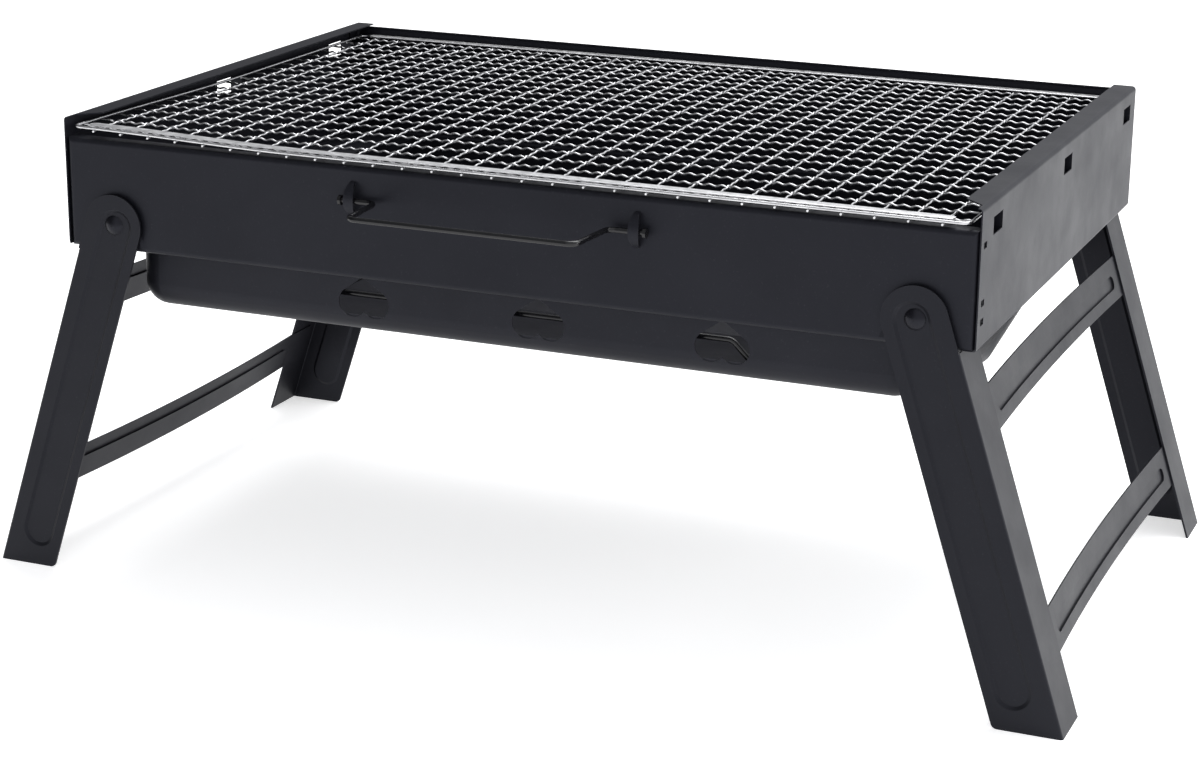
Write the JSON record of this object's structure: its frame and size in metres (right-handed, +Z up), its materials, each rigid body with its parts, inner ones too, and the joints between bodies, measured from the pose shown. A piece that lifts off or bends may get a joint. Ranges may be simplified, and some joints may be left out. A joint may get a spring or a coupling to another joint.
{
  "type": "folding camp grill",
  "caption": "Portable charcoal grill: shallow steel box on two folding pairs of splayed legs, with a hanging charcoal pan, a woven wire grate and wire carrying handles.",
  "frame": {"origin": "on the ground, under the middle of the standing grill", "axes": "+X along the box towards its right end as seen from the front, -Y towards the front, +Z up"},
  "size_m": [0.5222, 0.3554, 0.2208],
  "materials": {
    "box_paint": "satin",
    "leg_paint": "satin",
    "pan_paint": "satin",
    "rivet_paint": "gloss",
    "black_wire": "gloss",
    "galvanised_wire": "satin",
    "galvanised_strip": "satin"
  },
  "bodies": {
    "box": {"front_panel": "box_paint", "rear_panel": "box_paint", "left_end_panel": "box_paint", "right_end_panel": "box_paint", "rivet_front_left": "rivet_paint", "rivet_front_right": "rivet_paint", "rivet_rear_left": "rivet_paint", "rivet_rear_right": "rivet_paint"},
    "left_legs": {"leg_front_left": "leg_paint", "leg_rear_left": "leg_paint", "upper_crossbar_left": "leg_paint", "lower_crossbar_left": "leg_paint"},
    "right_legs": {"leg_front_right": "leg_paint", "leg_rear_right": "leg_paint", "upper_crossbar_right": "leg_paint", "lower_crossbar_right": "leg_paint"},
    "pan": {"charcoal_pan": "pan_paint", "charcoal_grid_rails": "black_wire", "charcoal_grid_rods": "black_wire"},
    "grate": {"grate_front_strip": "galvanised_strip", "grate_rear_strip": "galvanised_strip", "grate_frame_wire": "galvanised_wire", "grate_cross_wires": "galvanised_wire", "grate_long_wires": "galvanised_wire"},
    "front_handle": {"front_handle": "black_wire"},
    "rear_handle": {"rear_handle": "black_wire"}
  },
  "joints": [
    {"name": "left_leg_fold", "type": "hinge", "parent": "box", "child": "left_legs", "pos_m": [-0.1895, 0, 0.1726], "axis": [0, -1, 0], "range_deg": [0, 103.5]},
    {"name": "right_leg_fold", "type": "hinge", "parent": "box", "child": "right_legs", "pos_m": [0.1895, 0, 0.1726], "axis": [0, 1, 0], "range_deg": [0, 103.5]},
    {"name": "pan_lift", "type": "slide", "parent": "box", "child": "pan", "axis": [0, 0, 1], "range_m": [0, 0.05]},
    {"name": "grate_slide", "type": "slide", "parent": "box", "child": "grate", "axis": [0, -1, 0], "range_m": [0, 0.24]},
    {"name": "front_handle_swing", "type": "hinge", "parent": "box", "child": "front_handle", "pos_m": [0, -0.146, 0.1966], "axis": [1, 0, 0], "range_deg": [-25, 78]},
    {"name": "rear_handle_swing", "type": "hinge", "parent": "box", "child": "rear_handle", "pos_m": [0, 0.146, 0.1966], "axis": [-1, 0, 0], "range_deg": [-25, 78]}
  ],
  "couplings": [
    {"joint": "right_leg_fold", "follows": "left_leg_fold", "ratio": 1},
    {"joint": "pan_lift", "follows": "left_leg_fold", "m_per_rad": 0.02765}
  ]
}
